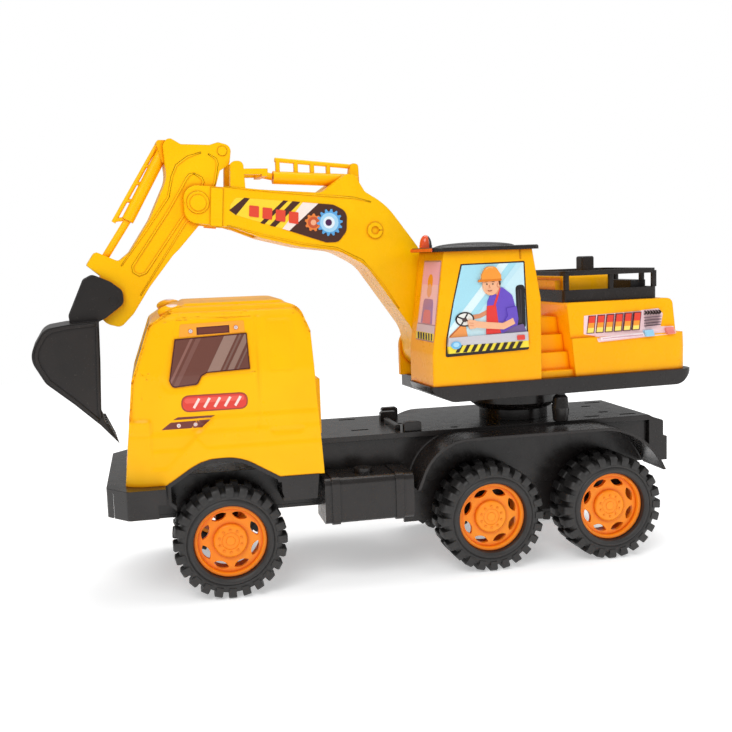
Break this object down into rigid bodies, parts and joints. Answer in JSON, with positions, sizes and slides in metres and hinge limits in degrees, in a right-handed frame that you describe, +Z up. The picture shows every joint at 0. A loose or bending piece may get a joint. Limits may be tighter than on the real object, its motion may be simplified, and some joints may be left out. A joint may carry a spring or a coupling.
{
  "type": "toy excavator",
  "caption": "Toy truck-mounted excavator: yellow lorry cab, black deck, orange-rimmed wheels, slewing cab with boom, dipper and bucket.",
  "frame": {"origin": "on the ground under the middle of the toy's overall box", "axes": "+X towards the lorry's rear, +Y towards its right-hand side, +Z up; the lorry faces -X"},
  "size_m": [0.3804, 0.122, 0.2434],
  "materials": {
    "cab_yellow": "glossy injection-moulded polypropylene",
    "turret_yellow": "glossy injection-moulded polypropylene",
    "arm_yellow": "glossy injection-moulded polypropylene",
    "black_plastic": "satin black moulding",
    "bucket_black": "satin black moulding",
    "rim_orange": "glossy orange moulding",
    "tyre_black": "matt black soft plastic",
    "axle_steel": "bright drawn wire",
    "beacon_red": "translucent orange-red plastic"
  },
  "bodies": {
    "chassis": {"chassis_frame": "black_plastic", "chassis_deck": "black_plastic", "belly_cover": "black_plastic", "belly_screws": "axle_steel", "axle_hangers": "axle_steel", "tail_panel": "black_plastic", "front_bumper": "black_plastic", "deck_lugs": "black_plastic", "turntable_pedestal": "black_plastic", "arch_liner_left": "black_plastic", "arch_liner_right": "black_plastic", "rear_mudguard_left": "black_plastic", "rear_mudguard_right": "black_plastic", "fuel_tank_left": "black_plastic", "fuel_tank_right": "black_plastic", "cab_shell": "cab_yellow", "cab_marker_pods": "cab_yellow"},
    "wheels_front": {"axle_front": "axle_steel", "rim_front_left": "rim_orange", "rim_front_right": "rim_orange", "tyre_front_left": "tyre_black", "tyre_front_right": "tyre_black"},
    "wheels_mid": {"axle_mid": "axle_steel", "rim_mid_left": "rim_orange", "rim_mid_right": "rim_orange", "tyre_mid_left": "tyre_black", "tyre_mid_right": "tyre_black"},
    "wheels_rear": {"axle_rear": "axle_steel", "rim_rear_left": "rim_orange", "rim_rear_right": "rim_orange", "tyre_rear_left": "tyre_black", "tyre_rear_right": "tyre_black"},
    "turret": {"slew_ring": "black_plastic", "turret_base": "black_plastic", "support_foot": "black_plastic", "operator_cab": "turret_yellow", "operator_roof": "black_plastic", "roof_beacon": "beacon_red", "step_block": "turret_yellow", "engine_body": "turret_yellow", "rack_tray": "black_plastic", "rack_rails": "black_plastic", "engine_cover": "turret_yellow", "exhaust_stack": "black_plastic", "service_box": "black_plastic", "boom_bracket": "turret_yellow", "boom_foot_pin": "turret_yellow"},
    "boom": {"boom_left": "arm_yellow", "boom_right": "arm_yellow", "boom_ram_barrel": "arm_yellow", "boom_ram_fork": "arm_yellow", "dipper_pin": "arm_yellow"},
    "dipper": {"dipper_left": "arm_yellow", "dipper_right": "arm_yellow", "dipper_ram": "arm_yellow"},
    "bucket": {"bucket_shell": "bucket_black", "bucket_pin": "bucket_black"}
  },
  "joints": [
    {"name": "axle_front_spin", "type": "hinge", "parent": "chassis", "child": "wheels_front", "pos_m": [-0.09111, 0, 0.03], "axis": [0, 1, 0], "continuous": true},
    {"name": "axle_mid_spin", "type": "hinge", "parent": "chassis", "child": "wheels_mid", "pos_m": [0.05379, 0, 0.03], "axis": [0, 1, 0], "continuous": true},
    {"name": "axle_rear_spin", "type": "hinge", "parent": "chassis", "child": "wheels_rear", "pos_m": [0.12549, 0, 0.03], "axis": [0, 1, 0], "continuous": true},
    {"name": "turret_slew", "type": "hinge", "parent": "chassis", "child": "turret", "pos_m": [0.08659, 0, 0.084], "axis": [0, 0, 1], "continuous": true},
    {"name": "boom_lift", "type": "hinge", "parent": "turret", "child": "boom", "pos_m": [0.03606, 0.00963, 0.121], "axis": [-0.0872, 0.9962, 0], "range_deg": [-2, 30]},
    {"name": "dipper_swing", "type": "hinge", "parent": "boom", "child": "dipper", "pos_m": [-0.09833, -0.00213, 0.2086], "axis": [-0.0872, 0.9962, 0], "range_deg": [0, 40]},
    {"name": "bucket_curl", "type": "hinge", "parent": "dipper", "child": "bucket", "pos_m": [-0.14525, -0.00623, 0.1578], "axis": [-0.0872, 0.9962, 0], "range_deg": [0, 60]}
  ]
}
